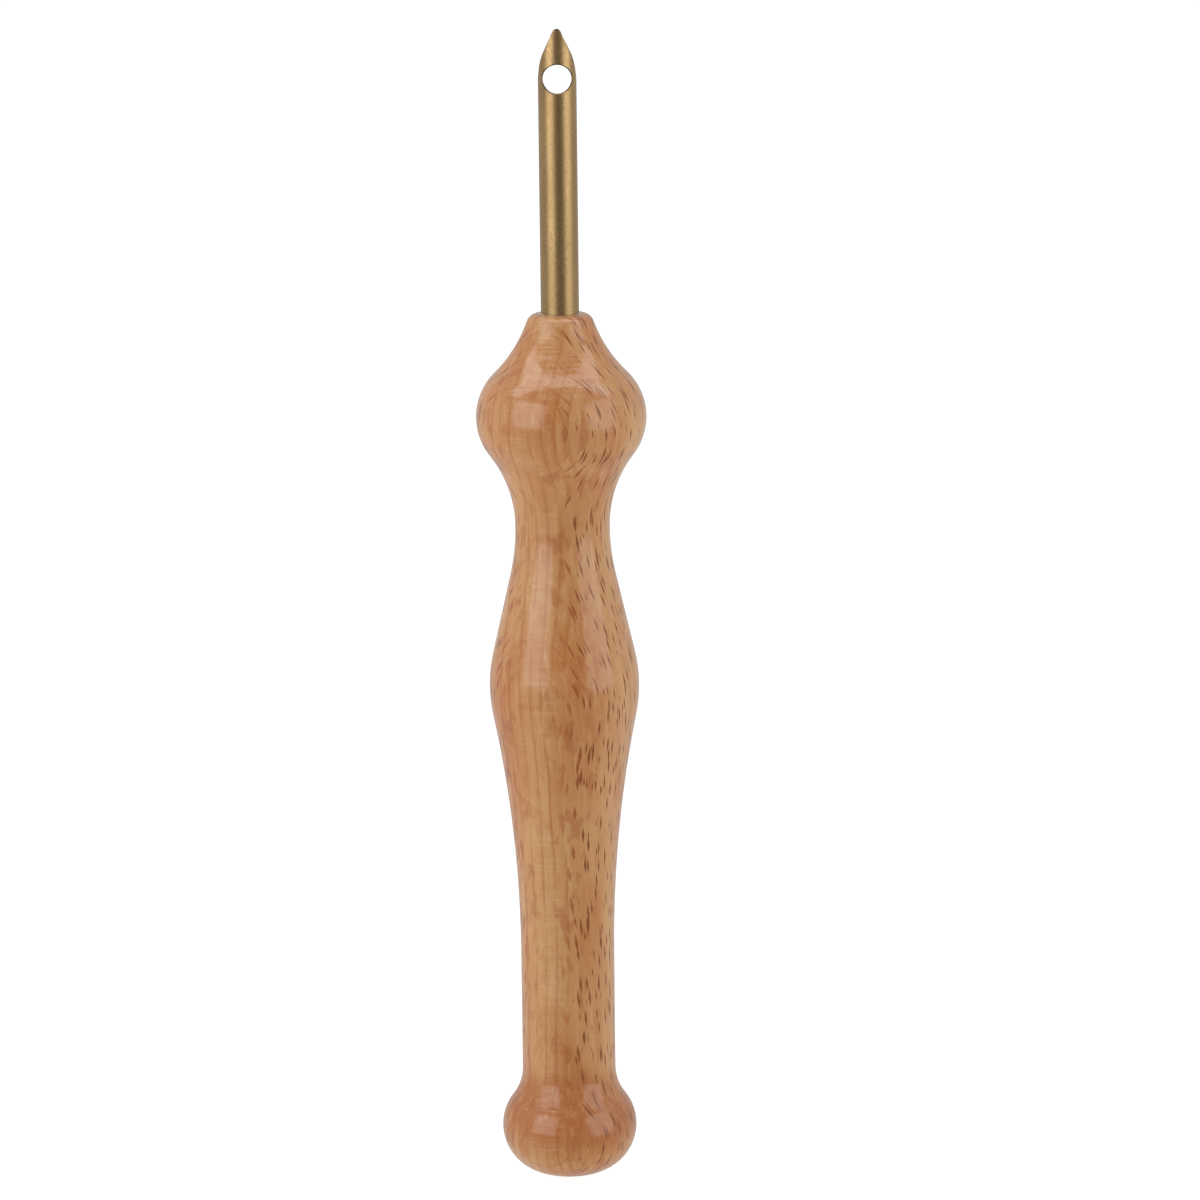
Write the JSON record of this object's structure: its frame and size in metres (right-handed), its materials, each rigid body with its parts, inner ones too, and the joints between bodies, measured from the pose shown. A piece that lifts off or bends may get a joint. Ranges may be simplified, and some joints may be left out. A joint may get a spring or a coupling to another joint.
{
  "type": "sewing awl",
  "caption": "Hollow-needle sewing awl or yarn punch: a bevelled brass tube with an eye near its tip, bonded into a turned beech handle bored through for the yarn.",
  "frame": {"origin": "middle of the handle's butt, at the object's lowest point", "axes": "+Z along the tool's axis towards the nib; the eye is in the wall on the -Y side and the bevel opens towards +Y"},
  "size_m": [0.0246, 0.0246, 0.1695],
  "materials": {
    "beech": "clear gloss lacquer",
    "brass": "satin, drawn along the tube",
    "adhesive": "clear set adhesive"
  },
  "bodies": {
    "root": {"handle": "beech", "needle": "brass", "adhesive_sleeve": "adhesive"}
  },
  "joints": []
}
